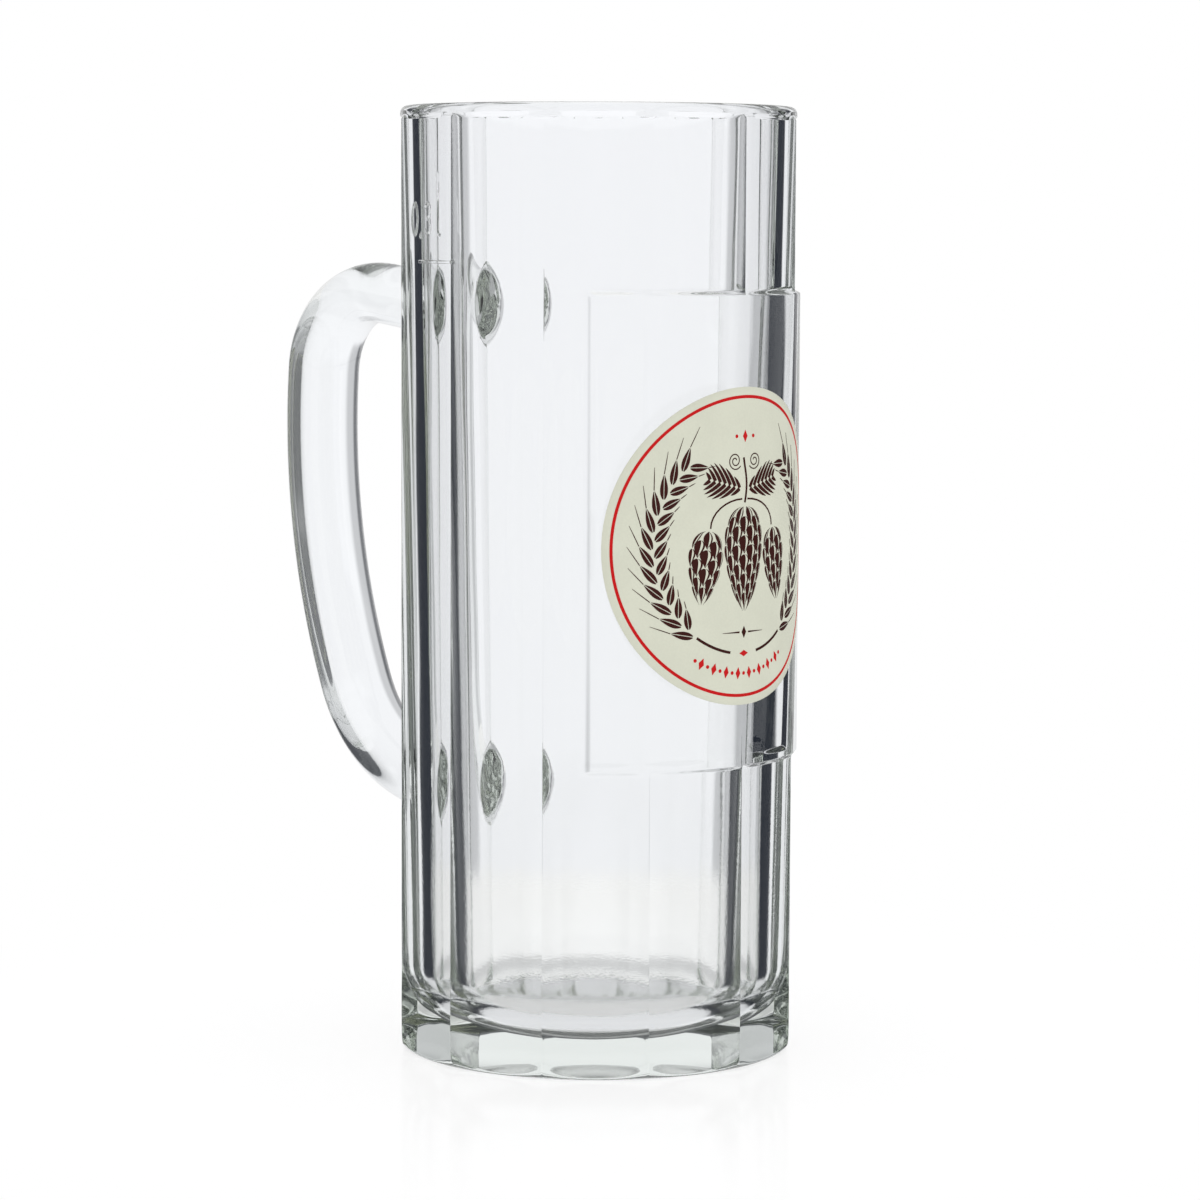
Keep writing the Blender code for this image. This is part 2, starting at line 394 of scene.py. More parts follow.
def markRise(height):     # how far the fill line and the digits stand out
    flat = np.where(onEdge, facetHalf, flatPlaces * facetHalf)
    line = [(mark["lineFrom"], mark["lineHeight"]), (mark["lineTo"], mark["lineHeight"])]
    strokes = [(line, mark["lineHalf"])] + [(digit, mark["strokeHalf"]) for digit in markStrokes()]
    raised = np.zeros_like(flat)
    for path, half in strokes:
        near = strokeDistance(flat, height, path)
        raised = np.maximum(raised, 1.0 - smoothStep(near, half, half + mark["soft"]))
    onFacet = np.abs(middles - math.radians(mark["facet"])) < halfSide / 2
    return np.where(onFacet, raised * mark["rise"], 0.0)


def wallRing(height):     # the outside at a height above the heel
    radius = np.hypot(wallX, wallY)
    radius = radius + (field["radius"] - radius) * fieldLift(height) + markRise(height)
    low, high = barrel["wallWave"]
    wave = high + (low - high) * smoothStep(height, *barrel["wallWaveHeight"])
    return roundRing(radius + wave * unevenness(*barrel["wallWaveScale"], height), height)


def heelProfile():     # (radius, height) of the round foot, carried on past the facet edges
    rounding = barrel["heelRound"]
    lean = math.radians(barrel["heelEnd"])
    count = round((math.pi / 2 - lean) * rounding / barrel["heelStep"])
    points = arcPoints((barrel["footRadius"], rounding), rounding, -90.0, -barrel["heelEnd"], count)
    radius, height = points[-1]
    for step in np.arange(barrel["heelStep"], barrel["heelRun"], barrel["heelStep"]):
        points.append((radius + step * math.sin(lean), height + step * math.cos(lean)))
    return points


def wallHeights():
    heelTop = heelProfile()[-1][1]
    heights = list(np.arange(heelTop + barrel["rowStep"], barrel["facetTop"], barrel["rowStep"]))
    over = field["over"]
    slope = field["endSlope"] + over
    heights += list(np.linspace(field["bottom"] - over, field["bottom"] + slope, field["cells"]))
    heights += list(np.linspace(field["top"] - slope, field["top"] + over, field["cells"]))
    reach = mark["lineHalf"] + mark["soft"]
    heights += list(np.linspace(mark["lineHeight"] - reach, mark["lineHeight"] + reach, mark["lineRows"]))
    below, above = mark["finerPast"]
    low = mark["digitsBottom"] - below
    high = mark["digitsBottom"] + mark["digitsTall"] + above
    heights += list(np.arange(low, high, mark["step"]))
    heights.append(barrel["facetTop"])
    kept = []
    for height in sorted(heights):
        if not kept or height - kept[-1] > 0.45 * mark["step"]:
            kept.append(height)
    return kept


def footRows():     # from the middle of the underside to the end of the heel
    rows = []
    for share in np.linspace(0.0, 1.0, barrel["dishRings"] + 1)[1:]:
        rows.append(roundRing(barrel["dishRadius"] * share, barrel["dishDepth"] * (1.0 - share * share)))
    wall = np.hypot(wallX, wallY)
    for radius, height in heelProfile():
        rows.append(roundRing(softMin(wall, radius, barrel["heelEdge"]), height))
    return rows


def rimRows():     # from the facets' top over the rim to the mouth of the bore
    rows = []
    wall = np.hypot(wallX, wallY)
    for share in np.linspace(0.0, 1.0, barrel["bandRings"] + 1)[1:]:
        height = barrel["facetTop"] + share * (barrel["bandBottom"] - barrel["facetTop"])
        rows.append(roundRing(wall + (barrel["rimRadius"] - wall) * smoothStep(share, 0.0, 1.0), height))
    half = (barrel["rimRadius"] - barrel["boreHigh"]) / 2
    for cosine, sine in arcPoints((0.0, 0.0), 1.0, 0, 180, barrel["rimCells"]):
        out = math.copysign(abs(cosine) ** (2 / barrel["rimPower"]), cosine)
        up = abs(sine) ** (2 / barrel["rimPower"])
        rows.append(roundRing(barrel["boreHigh"] + half * (1.0 + out), rimBottom + barrel["rimTall"] * up))
    return rows


def boreRows():     # down the plunger's side of the wall, slightly uneven, and over the bowl of the floor
    rows = []
    curve, fillet, middle = barrel["floorCurve"], barrel["floorFillet"], barrel["floorMiddle"]
    inner = barrel["boreLow"] - fillet
    slope = math.asin(inner / (curve - fillet))     # where the bowl runs into its fillet
    bottom = middle + curve - (curve - fillet) * math.cos(slope)
    for height in np.linspace(rimBottom, bottom, barrel["boreRings"] + 1)[1:-1]:
        share = (rimBottom - height) / (rimBottom - bottom)
        radius = barrel["boreHigh"] + (barrel["boreLow"] - barrel["boreHigh"]) * share
        wave = barrel["boreWave"] * unevenness(*barrel["boreWaveScale"], height)
        rows.append(roundRing(radius + wave, height))
    end = math.degrees(slope) - 90.0
    profile = arcPoints((inner, bottom), fillet, 0, end, barrel["filletCells"])
    profile += arcPoints((0.0, middle + curve), curve, end, -90.0, barrel["bowlCells"])[1:-1]
    return rows + [roundRing(radius, height) for radius, height in profile]


def barrelRows():     # from the middle of the underside, up the outside, over the rim and down the bore
    return footRows() + [wallRing(height) for height in wallHeights()] + rimRows() + boreRows()


# Handle: an oval swept along straight arms and bends, its roots spread to an almond on the barrel
handle = {
    "rootReach": 0.0310,
    "upperRoot": 0.1210,
    "armRise": 7.4,                   # headings in degrees from straight out
    "armLength": 0.0208,
    "shoulderRadius": 0.0147,
    "gripStart": -85.2,
    "gripRadius": 0.1185,
    "gripEnd": -112.2,
    "bendRadius": 0.0252,
    "bendEnd": -178.8,
    "halfThick": 0.0052,
    "halfWide": 0.0069,
    "flareLength": 0.0048,
    "flareRise": 0.0027,
    "flareWide": 0.0016,
    "almond": 0.6,
    "sink": 0.0013,
    "overlap": 0.00008,
    "sides": 64,
    "step": 0.0012,
}


def rootDistances():     # from the sunk end out along an arm
    turns = np.linspace(0.0, math.pi / 2, 10)
    fillet = handle["flareLength"] * (1.0 - np.cos(turns)) - handle["overlap"]
    return [-handle["sink"], *fillet]


def handleStations():     # (reach from the axis, height, heading) from the upper root to the lower one
    stations = []
    rise = math.radians(handle["armRise"])
    wall = barrel["cornerRadius"]
    start = Vector((handle["rootReach"], handle["upperRoot"]))
    armEnd = start + handle["armLength"] * Vector((math.cos(rise), math.sin(rise)))
    reaches = [wall + distance for distance in rootDistances()]
    reaches += list(np.arange(reaches[-1] + handle["step"], armEnd.x - 0.4 * handle["step"], handle["step"]))
    for reach in reaches:
        stations.append((reach, start.y + (reach - start.x) * math.tan(rise), rise))
    here = armEnd
    heading = rise
    bends = ((handle["shoulderRadius"], handle["gripStart"]), (handle["gripRadius"], handle["gripEnd"]),
             (handle["bendRadius"], handle["bendEnd"]))
    for radius, end in bends:
        final = math.radians(end)
        hub = here + radius * Vector((math.sin(heading), -math.cos(heading)))
        count = round(radius * (heading - final) / handle["step"])
        for turn in np.linspace(heading, final, count + 1)[:-1]:
            stations.append((hub.x - radius * math.sin(turn), hub.y + radius * math.cos(turn), turn))
        here = hub + radius * Vector((-math.sin(final), math.cos(final)))
        heading = final
    lower = [wall + distance for distance in rootDistances()]
    lower += list(np.arange(lower[-1] + handle["step"], here.x, handle["step"]))
    for reach in reversed(lower):
        stations.append((reach, here.y + (reach - here.x) * math.tan(heading), heading))
    return stations


def handleRing(reach, height, heading):
    beyond = reach - barrel["cornerRadius"]
    curl = np.clip(1.0 - (beyond + handle["overlap"]) / handle["flareLength"], 0.0, 1.0)
    spread = 1.0 - math.sqrt(1.0 - curl * curl)
    follow = 1.0 - float(smoothStep(np.array(beyond), 0.0, 2.0 * handle["flareLength"]))
    turns = np.linspace(0.0, 2 * math.pi, handle["sides"], endpoint=False)
    cosines = np.cos(turns)
    wide = handle["halfWide"] + handle["flareWide"] * spread
    thick = handle["halfThick"] + handle["flareRise"] * spread
    across = wide * np.sign(cosines) * np.abs(cosines) ** (1.0 + handle["almond"] * spread)
    up = thick * np.sin(turns)
    out = reach - (1.0 - follow) * up * math.sin(heading) - follow * np.abs(across) * math.tan(halfSide)
    return np.stack([-out, across, height + up * math.cos(heading)], axis=1)


def fuse(thing, other):     # joins two closed meshes into one
    join = thing.modifiers.new("join", "BOOLEAN")
    join.operation = "UNION"
    join.solver = "MANIFOLD"
    join.object = other
    graph = bpy.context.evaluated_depsgraph_get()
    joined = bpy.data.meshes.new_from_object(thing.evaluated_get(graph))
    thing.modifiers.clear()
    thing.data = joined
    bpy.data.objects.remove(other, do_unlink=True)


def facingOut(thing):
    shape = bmesh.new()
    shape.from_mesh(thing.data)
    bmesh.ops.recalc_face_normals(shape, faces=shape.faces)
    shape.to_mesh(thing.data)
    shape.free()


# Large faces rule outside, so the facets stay flat; inside, small ones do, so the bore is an even round
def setNormals(mesh):
    points = np.empty(3 * len(mesh.vertices))
    mesh.vertices.foreach_get("co", points)
    points = points.reshape(-1, 3)
    corners = np.empty(len(mesh.loops), dtype=int)
    mesh.loops.foreach_get("vertex_index", corners)
    sizes = np.empty(len(mesh.polygons), dtype=int)
    mesh.polygons.foreach_get("loop_total", sizes)
    areas = np.empty(len(mesh.polygons))
    mesh.polygons.foreach_get("area", areas)
    facing = np.empty(3 * len(mesh.polygons))
    mesh.polygons.foreach_get("normal", facing)
    areas = np.repeat(areas, sizes) * 1e6 + 1e-9
    facing = np.repeat(facing.reshape(-1, 3), sizes, axis=0)
    inside = np.hypot(points[:, 0], points[:, 1]) < barrel["insideRadius"]
    inside &= points[:, 2] > barrel["insideHeight"]
    weights = np.where(inside[corners], 1.0 / areas, areas ** 2)
    normals = np.zeros_like(points)
    np.add.at(normals, corners, facing * weights[:, None])
    normals /= np.linalg.norm(normals, axis=1)[:, None]
    mesh.shade_smooth()
    mesh.normals_split_custom_set_from_vertices(normals.tolist())


def makeGlass():
    body = makeObject("mug_glass", *closedSkin(barrelRows(), (0.0, 0.0, barrel["dishDepth"]),
                                               (0.0, 0.0, barrel["floorMiddle"])))
    facingOut(body)
    rings = [handleRing(*station) for station in handleStations()]
    loop = makeObject("handle_loop", *closedSkin(rings, rings[0].mean(axis=0), rings[-1].mean(axis=0)))
    facingOut(loop)
    fuse(body, loop)
    setNormals(body.data)
    return body


glassFinish = {
    "ior": 1.52,
    "tint": (0.998, 0.999, 1.0, 1.0),
    "absorb": (0.78, 0.82, 0.76, 1.0),
    "absorbDensity": 13.0,
    "roughness": (0.004, 0.012),      # least and most, in clouds
    "cloudScale": 90.0,
    "cloudRange": (0.55, 0.8),
    "rippleScale": 420.0,
    "rippleStretch": (1.0, 1.0, 0.22),
    "rippleDepth": 0.0000012,
    "inside": (0.0304, 0.0300),       # radius of the plunger's side of the wall
    "overUnderside": (0.0016, 0.0024),
    "chillHeight": (0.060, 0.012),    # the plunger left wrinkles low down, most of them on the bowl
    "chillScale": (40.0, 2600.0),     # round the axis, and out from it or up
    "chillDepth": 0.000015,
    "bowlHeight": (0.016, 0.012),
    "bowlRoughness": 0.03,
    "paintedShadeRadius": (0.0219, 0.0211),   # painted shade: a dark matt film on the floor's bowl, with a ragged edge
    "paintedShadeRagged": 0.0012,
    "raggedScale": 30.0,
    "paintedShade": 0.18,
    "paintedShadeColour": (0.25, 0.25, 0.23, 1.0),
}


def glassMaterial():
    material, wire = newMaterial("mug_glass")
    place = wire.node("TexCoord", out="Object")
    axes = wire.node("SeparateXYZ", None, {0: place})
    up = axes.other("Z")
    across = wire.node("CombineXYZ", None, {0: axes.other("X"), 1: axes.other("Y")})
    radius = wire.node("VectorMath", {"operation": "LENGTH"}, {0: across}, out="Value")
    turn = wire.node("Math", {"operation": "ARCTAN2"}, {0: axes.other("Y"), 1: axes.other("X")})
    inside = radius.ramp(*glassFinish["inside"]) * up.ramp(*glassFinish["overUnderside"])
    bowl = inside * up.ramp(*glassFinish["bowlHeight"])

    stretched = wire.node("Mapping", None, {"Vector": place, "Scale": glassFinish["rippleStretch"]})
    ripple = wire.node("TexNoise", None, {
        "Vector": stretched, "Scale": glassFinish["rippleScale"], "Detail": 2.0, "Roughness": 0.45})
    bump = wire.node("Bump", None, {
        "Strength": 1.0, "Distance": glassFinish["rippleDepth"], "Height": ripple})
    around, along = glassFinish["chillScale"]
    wrinkles = wire.node("CombineXYZ", None, {0: around * turn, 1: along * radius, 2: along * up})
    chill = wire.node("TexNoise", None, {"Vector": wrinkles, "Scale": 1.0, "Detail": 3.0, "Roughness": 0.6})
    bump = wire.node("Bump", None, {
        "Strength": 1.0, "Distance": glassFinish["chillDepth"], "Normal": bump,
        "Height": chill * inside * up.ramp(*glassFinish["chillHeight"])})

    cloud = wire.node("TexNoise", None, {"Vector": place, "Scale": glassFinish["cloudScale"], "Detail": 3.0})
    clouded = cloud.ramp(*glassFinish["cloudRange"], *glassFinish["roughness"])
    shader = wire.node("BsdfPrincipled", None, {
        "Base Color": glassFinish["tint"],
        "Roughness": clouded + bowl * glassFinish["bowlRoughness"],
        "IOR": glassFinish["ior"],
        "Transmission Weight": 1.0,
        "Normal": bump,
    })
    # Painted shade: a dark matt film mixed into the glass on the floor's bowl, inside a ragged circle
    circle = wire.node("CombineXYZ", None, {0: glassFinish["raggedScale"] * turn})
    ragged = wire.node("TexNoise", None, {"Vector": circle, "Scale": 1.0, "Detail": 4.0, "Roughness": 0.7})
    paintedShade = (radius + glassFinish["paintedShadeRagged"] * (ragged - 0.5)).ramp(*glassFinish["paintedShadeRadius"])
    shadeFilm = wire.node("BsdfDiffuse", None, {"Color": glassFinish["paintedShadeColour"]})
    shader = wire.node("MixShader", None, {0: paintedShade * bowl * glassFinish["paintedShade"], 1: shader, 2: shadeFilm})
    volume = wire.node("VolumeAbsorption", None, {
        "Color": glassFinish["absorb"], "Density": glassFinish["absorbDensity"]})
    endMaterial(wire, shader, volume)
    return material


mugGlass = makeGlass()
finishPiece(mugGlass, glassMaterial(), ("mug_body", "handle"))


# Enamel print: a cream ground, a red ring and a small picture, all wrapped on the field
groundLow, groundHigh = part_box("label_ground")
ringLow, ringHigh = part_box("label_ring")
label = {
    "middle": (groundLow.z + groundHigh.z) / 2,
    "radius": (groundHigh.z - groundLow.z) / 2,
    "ringRadius": (ringHigh.z - ringLow.z) / 2,
    "ringWide": 0.0005,
    "sunk": -0.00005,                 # the ground's inner face, from the field's surface
    "groundTop": 0.00006,
    "printTop": 0.000085,
    "columns": 180,
}


def onField(along, up, lift):     # a flat place on the label, bent round the barrel
    radius = field["radius"]
    turn = np.asarray(along) / radius
    return np.stack([(radius + lift) * np.cos(turn), (radius + lift) * np.sin(turn),
                     label["middle"] + np.asarray(up) + 0.0 * turn], axis=-1)


def labelRing(radius, lift):
    turns = np.linspace(0.0, 2 * math.pi, label["columns"], endpoint=False)
    return onField(radius * np.cos(turns), radius * np.sin(turns), lift)


def makeGround():
    steps = np.linspace(0.0, 1.0, 16)[1:]
    edge = label["groundTop"]
    inner = [labelRing(label["radius"] * step, label["sunk"]) for step in steps]
    outer = [labelRing((label["radius"] - edge / 2) * step, label["groundTop"]) for step in reversed(steps)]
    side = [labelRing(label["radius"], edge / 3)]
    ground = makeObject("label_ground_enamel", *closedSkin(
        [*inner, *side, *outer], onField(0.0, 0.0, label["sunk"]), onField(0.0, 0.0, label["groundTop"])))
    facingOut(ground)
    return ground


def makeRing():
    outer = label["ringRadius"]
    inner = outer - label["ringWide"]
    low = label["groundTop"] / 2
    high = label["printTop"]
    section = ((inner, low), (outer, low), (outer, high), (inner, high))
    rows = np.array([labelRing(radius, lift) for radius, lift in section])
    faces = gridFaces(len(section), label["columns"], wrapRows=True)
    ring = makeObject("label_ring_enamel", rows.reshape(-1, 3), faces)
    facingOut(ring)
    ring.data.set_sharp_from_angle(angle=math.radians(40.0))
    return ring


# Small picture: hops in a wreath of barley, cut as thin strokes that follow the field
ears = {
    "radius": 0.0171,
    "start": 144.0,                   # degrees from the top, round each side
    "end": 36.0,
    "grains": 12,
    "stagger": 0.0002,
    "grainLength": (0.0040, 0.0034),  # outer and inner side, as are the other pairs
    "grainHalf": 0.00060,
    "grainLean": (26.0, 41.0),
    "slit": 0.00006,
    "awnLean": (17.0, 33.0),
    "awnLength": (0.0036, 0.0012),
    "awnGap": 0.0001,
    "awnHalf": 0.00007,
    "awnTip": 0.00003,
    "stalkEnd": 170.0,
    "stalkGap": 2.0,
    "stalkHalf": 0.00022,
}
hops = {
    "cones": (                        # top, lean, length, half width, rows, scales in a row
        (0.0, 0.0064, 0.0, 0.0168, 0.0044, 10, 4),
        (-0.0074, 0.0027, -7.0, 0.0118, 0.0033, 7, 3),
        (0.0074, 0.0027, 7.0, 0.0118, 0.0033, 7, 3),
    ),
    "coneBulge": (0.66, 0.62),        # powers that put the widest place above the middle
    "coneLeast": 0.12,
    "scaleBulge": (0.60, 1.15),
    "scaleReach": 0.36,
    "scaleHalves": ((-1.0, 0.25), (0.68, 1.0)),     # each scale has a slit
    "leafBase": (0.0007, 0.0092),
    "leafHeading": 14.0,
    "leafLength": 0.0078,
    "leafHalf": 0.0042,
    "leafBulge": 0.72,
    "leafRibs": 7,
    "ribLean": 52.0,
    "ribBend": 10.0,
    "ribShare": 0.36,
    "ribTip": 0.00002,
    "vein": 0.00007,
    "stemFoot": 0.0070,
    "stemTall": 0.0072,
    "stemSway": 0.0004,
    "stemHalf": 0.00020,
    "armFrom": (0.0006, 0.0031),
    "armReach": (0.0065, 0.0045),
    "armHalf": 0.00014,
    "curlMiddle": (0.0022, 0.0137),
    "curlTurns": (-0.4, 1.45),        # whole turns, from the outer end to the inner one
    "curlRadius": 0.0012,
    "curlTighter": 0.00010,           # per radian
    "curlHalf": 0.00009,
}
dots = {
    "radius": 0.0203,
    "start": 151.0,
    "count": 17,
    "half": 0.00030,
    "lozenge": (0.00095, 0.00052),    # half length and half width
    "topHeight": 0.0176,
    "topGap": 0.0019,
    "footHeight": -0.0171,
    "ruleHeight": -0.0137,
    "ruleSpan": (0.0010, 0.0046),
    "ruleHalf": (0.00014, 0.000028),
}


def stroke(points, half):     # the two edges of a ribbon along a line
    points = np.asarray(points)
    ahead = np.gradient(points, axis=0)
    side = np.stack([-ahead[:, 1], ahead[:, 0]], axis=1) / np.linalg.norm(ahead, axis=1)[:, None]
    half = np.broadcast_to(half, len(points))[:, None]
    return points + side * half, points - side * half


def headed(degrees):     # a step of length 1 along a heading
    turn = np.radians(degrees)
    return np.stack([np.cos(turn), np.sin(turn)], axis=-1)


def splitGrain(base, heading, length):     # two halves beside a slit
    share = np.linspace(0.03, 0.99, 10)
    reach = ears["grainHalf"] * np.sin(np.pi * share ** 0.75) ** 0.9
    line = np.asarray(base) + length * share[:, None] * headed(heading)
    side = headed(heading + 90.0)
    slit = ears["slit"]
    return [(line + sign * slit * side, line + sign * (slit + reach[:, None]) * side) for sign in (1.0, -1.0)]


def earStrokes(side):
    strokes = []
    step = (ears["start"] - ears["end"]) / ears["grains"]
    for k in range(2 * ears["grains"]):
        inner = k % 2
        turn = math.radians(ears["start"] - 0.5 * k * step)
        around = np.array([side * math.sin(turn), math.cos(turn)])
        heading = math.degrees(math.atan2(math.sin(turn), -side * math.cos(turn)))
        inward = 2.0 * inner - 1.0
        base = (ears["radius"] - inward * ears["stagger"]) * around
        grain = heading + side * inward * ears["grainLean"][inner]
        strokes += splitGrain(base, grain, ears["grainLength"][inner])
        tip = base + (ears["grainLength"][inner] + ears["awnGap"]) * headed(grain)
        awn = ears["awnLength"][inner] * headed(heading + side * inward * ears["awnLean"][inner])
        half = (ears["awnHalf"], ears["awnHalf"], ears["awnTip"])
        strokes.append(stroke([tip + share * awn for share in (0.0, 0.5, 1.0)], half))
    turns = np.radians(np.linspace(ears["stalkEnd"], ears["start"] + ears["stalkGap"], 9))
    stalk = [(side * ears["radius"] * math.sin(t), ears["radius"] * math.cos(t)) for t in turns]
    return [*strokes, stroke(stalk, ears["stalkHalf"])]


def coneStrokes(x, y, lean, length, wide, rows, scales):     # a staggered grid, bent into a hanging cone
    strokes = []
    pitch = 2.0 / scales
    down = headed(lean - 90.0)
    side = headed(lean)

    def place(across, share):
        bulge, blunt = hops["coneBulge"]
        half = wide * np.maximum(np.sin(np.pi * share ** bulge) ** blunt, hops["coneLeast"])
        out = half * np.sin(0.5 * np.pi * across)
        return np.array([x, y]) + out[:, None] * side + length * share[:, None] * down

    along = np.linspace(0.02, 0.97, 13)
    bulge, blunt = hops["scaleBulge"]
    reach = hops["scaleReach"] * pitch * np.sin(np.pi * along ** bulge) ** blunt
    for i in range(rows):
        shares = (i + 2.0 * along) / (rows + 1)
        count = scales - i % 2
        for j in range(count):
            middle = (j - (count - 1) / 2) * pitch
            for left, right in hops["scaleHalves"]:
                strokes.append((place(middle + left * reach, shares), place(middle + right * reach, shares)))
    return strokes


def leafStrokes(side):     # ribs to both sides of a bare vein
    strokes = []
    base = np.array([side * hops["leafBase"][0], hops["leafBase"][1]])
    heading = hops["leafHeading"] if side > 0 else 180.0 - hops["leafHeading"]
    pitch = hops["leafLength"] / (hops["leafRibs"] + 0.5)
    thick = hops["ribShare"] * pitch * math.sin(math.radians(hops["ribLean"]))
    share = np.linspace(0.0, 1.0, 8)
    for k in range(hops["leafRibs"]):
        place = (k + 0.7) / (hops["leafRibs"] + 0.9)
        reach = hops["leafHalf"] * math.sin(math.pi * place ** hops["leafBulge"]) * share[:, None]
        for sign in (1.0, -1.0):
            root = base + (k + 0.5) * pitch * headed(heading) + sign * hops["vein"] * headed(heading + 90.0)
            line = root + reach * headed(heading + sign * (hops["ribLean"] - hops["ribBend"] * share))
            strokes.append(stroke(line, thick * (1.0 - share ** 3) + hops["ribTip"]))
    return strokes


def stemStrokes():     # the stem, and an arm and a curl to each side of it
    shares = np.linspace(0.0, 1.0, 9)
    stem = [(hops["stemSway"] * math.sin(4.0 * t), hops["stemFoot"] + hops["stemTall"] * t) for t in shares]
    strokes = [stroke(stem, hops["stemHalf"])]
    armX, armY = hops["armFrom"]
    armWide, armTall = hops["armReach"]
    curlX, curlY = hops["curlMiddle"]
    for side in (1.0, -1.0):
        turns = shares * math.pi / 2
        arm = [(side * (armX + armWide * math.sin(t)), armY + armTall * math.cos(t)) for t in turns]
        strokes.append(stroke(arm, hops["armHalf"]))
        turns = 2 * math.pi * np.linspace(*hops["curlTurns"], 44)
        radii = hops["curlRadius"] - hops["curlTighter"] * turns
        curl = np.stack([side * (curlX + radii * np.cos(turns)), curlY + radii * np.sin(turns)], axis=1)
        strokes.append(stroke(curl, hops["curlHalf"]))
    return strokes


def ruleStrokes():     # a lozenge between two tapering lines
    strokes = [lozenge((0.0, dots["ruleHeight"]), 90.0)]
    for side in (1.0, -1.0):
        line = [(side * along, dots["ruleHeight"]) for along in np.linspace(*dots["ruleSpan"], 7)]
        strokes.append(stroke(line, np.linspace(*dots["ruleHalf"], 7)))
    return strokes


def roundDot(middle, radius):
    turns = np.linspace(-0.47, 0.47, 9) * math.pi
    line = [(middle[0], middle[1] + radius * math.sin(t)) for t in turns]
    return stroke(line, radius * np.cos(turns))


def lozenge(middle, heading):
    long, wide = dots["lozenge"]
    line = [np.asarray(middle) + share * long * headed(heading) for share in np.linspace(-1.0, 1.0, 5)]
    return stroke(line, wide * np.array([0.04, 0.5, 1.0, 0.5, 0.04]))


def dotStrokes():     # a lozenge between two dots at the top, another at the foot, and a row below that
    top = dots["topHeight"]
    strokes = [lozenge((0.0, top), 90.0), lozenge((0.0, dots["footHeight"]), 0.0)]
    strokes += [roundDot((side * dots["topGap"], top), dots["half"]) for side in (-1.0, 1.0)]
    for k, turn in enumerate(np.linspace(dots["start"], 360.0 - dots["start"], dots["count"])):
        middle = dots["radius"] * headed(90.0 - turn)
        strokes.append(lozenge(middle, 90.0 - turn) if k % 2 else roundDot(middle, dots["half"]))
    return strokes


def makePrint(name, strokes):     # each stroke is a thin closed body, its foot sunk in the ground
    points = []
    faces = []
    for left, right in strokes:
        start = len(points)
        low, high = label["groundTop"] / 2, label["printTop"]
        section = ((left, low), (right, low), (right, high), (left, high))
        rows = np.stack([onField(*edge.T, lift) for edge, lift in section], axis=1)
        points += list(rows.reshape(-1, 3))
        end = len(points)
        faces += [tuple(start + corner for corner in face) for face in gridFaces(len(left), 4)]
        faces += [(start + 3, start + 2, start + 1, start), (end - 4, end - 3, end - 2, end - 1)]
    made = makeObject(name, points, faces)
    facingOut(made)
    made.data.set_sharp_from_angle(angle=math.radians(40.0))
    return made


enamel = {
    "cream": (0.70, 0.71, 0.59),
    "red": (0.58, 0.006, 0.008),
    "brown": (0.045, 0.008, 0.006),
    "deeper": 0.95,                   # the darker end of each colour's mottling
    "mottleRange": (0.35, 0.65),
    "cloudScale": 160.0,
    "cloudShare": 0.6,
    "cloudRange": (0.3, 0.7),
    "grainScale": 2600.0,
    "grainDepth": 0.000006,
    "roughness": (0.33, 0.43),
    "gloss": 0.12,
}


def enamelMaterial(name, colour):
    material, wire = newMaterial(name)
    place = wire.node("TexCoord", out="Object")
    cloud = wire.node("TexNoise", None, {"Vector": place, "Scale": enamel["cloudScale"], "Detail": 4.0})
    grain = wire.node("TexNoise", None, {"Vector": place, "Scale": enamel["grainScale"], "Detail": 2.0})
    deeper = tuple(enamel["deeper"] * channel for channel in colour)
    mottle = enamel["cloudShare"] * cloud + (1.0 - enamel["cloudShare"]) * grain
    bump = wire.node("Bump", None, {"Strength": 0.5, "Distance": enamel["grainDepth"], "Height": grain})
    shader = wire.node("BsdfPrincipled", None, {
        "Base Color": mottle.ramp(*enamel["mottleRange"]).blend((*deeper, 1.0), (*colour, 1.0)),
        "Roughness": cloud.ramp(*enamel["cloudRange"], *enamel["roughness"]),
        "Specular IOR Level": enamel["gloss"],
        "Normal": bump,
    })
    endMaterial(wire, shader)
    return material


creamEnamel = enamelMaterial("cream_enamel", enamel["cream"])
redEnamel = enamelMaterial("red_enamel", enamel["red"])
brownEnamel = enamelMaterial("brown_enamel", enamel["brown"])
finishPiece(makeGround(), creamEnamel, ("label_ground",))
finishPiece(makeRing(), redEnamel, ("label_ring",))
picture = stemStrokes() + ruleStrokes()
for side in (1.0, -1.0):
    picture += earStrokes(side) + leafStrokes(side)
for cone in hops["cones"]:
    picture += coneStrokes(*cone)
finishPiece(makePrint("emblem_brown_enamel", picture), brownEnamel)
finishPiece(makePrint("emblem_red_enamel", dotStrokes()), redEnamel)


